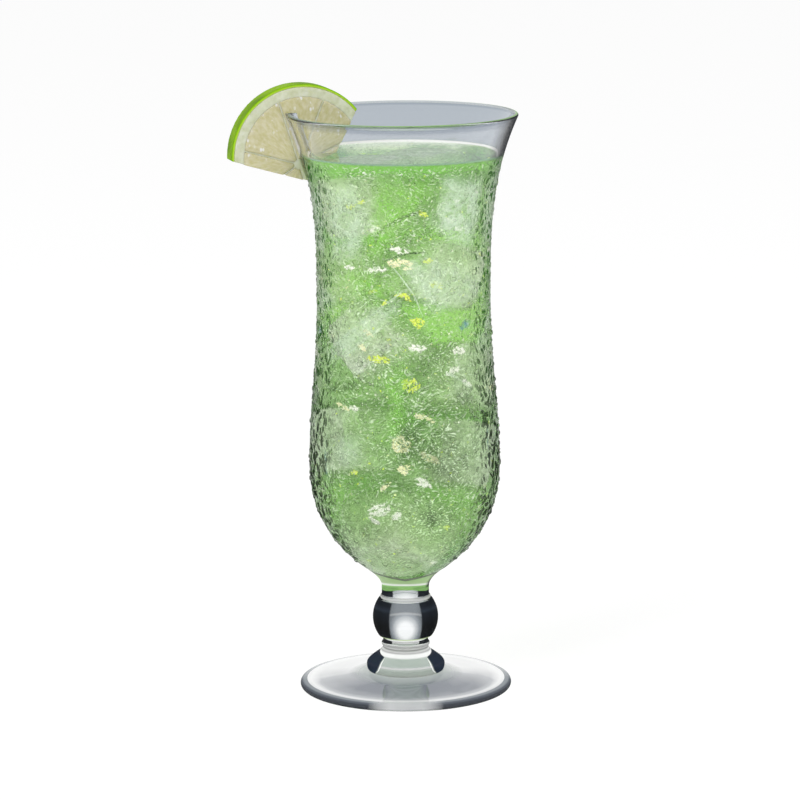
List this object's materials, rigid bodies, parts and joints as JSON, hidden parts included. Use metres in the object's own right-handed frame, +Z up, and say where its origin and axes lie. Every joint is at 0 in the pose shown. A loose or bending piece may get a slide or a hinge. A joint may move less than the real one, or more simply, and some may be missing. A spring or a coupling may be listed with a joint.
{
  "type": "hurricane glass",
  "caption": "Tall footed tulip glass with a flared rim, waist and ball stem, filled with an iced green drink and carrying a removable lime wedge on the rim.",
  "frame": {"origin": "centre of the foot's resting ring, on the table", "axes": "+Z up along the glass's axis of revolution, the lime on the rim's -X side, -Y towards the viewer"},
  "size_m": [0.1041, 0.0824, 0.2203],
  "materials": {
    "glass": "clear polished",
    "drink": "clear green liquid",
    "ice": "cloudy wet ice",
    "lime_zest": "waxy, finely pitted",
    "lime_pith": "soft matt",
    "lime_pulp": "wet, grained with vesicles"
  },
  "bodies": {
    "glass": {"bowl": "glass", "stem": "glass", "foot": "glass", "drink": "drink", "ice_cube_01": "ice", "ice_cube_02": "ice", "ice_cube_03": "ice", "ice_cube_04": "ice", "ice_cube_05": "ice", "ice_cube_06": "ice", "ice_cube_07": "ice", "ice_cube_08": "ice", "ice_cube_09": "ice", "ice_cube_10": "ice", "ice_cube_11": "ice"},
    "lime": {"lime_zest": "lime_zest", "lime_pith": "lime_pith", "lime_segment_1": "lime_pulp", "lime_segment_2": "lime_pulp", "lime_segment_3": "lime_pulp", "lime_segment_4": "lime_pulp", "lime_segment_5": "lime_pulp", "lime_segment_6": "lime_pulp"}
  },
  "joints": [
    {"name": "lime_lift", "type": "slide", "parent": "glass", "child": "lime", "axis": [-0.2933, 0.0308, 0.9555], "range_m": [0, 0.06]}
  ]
}
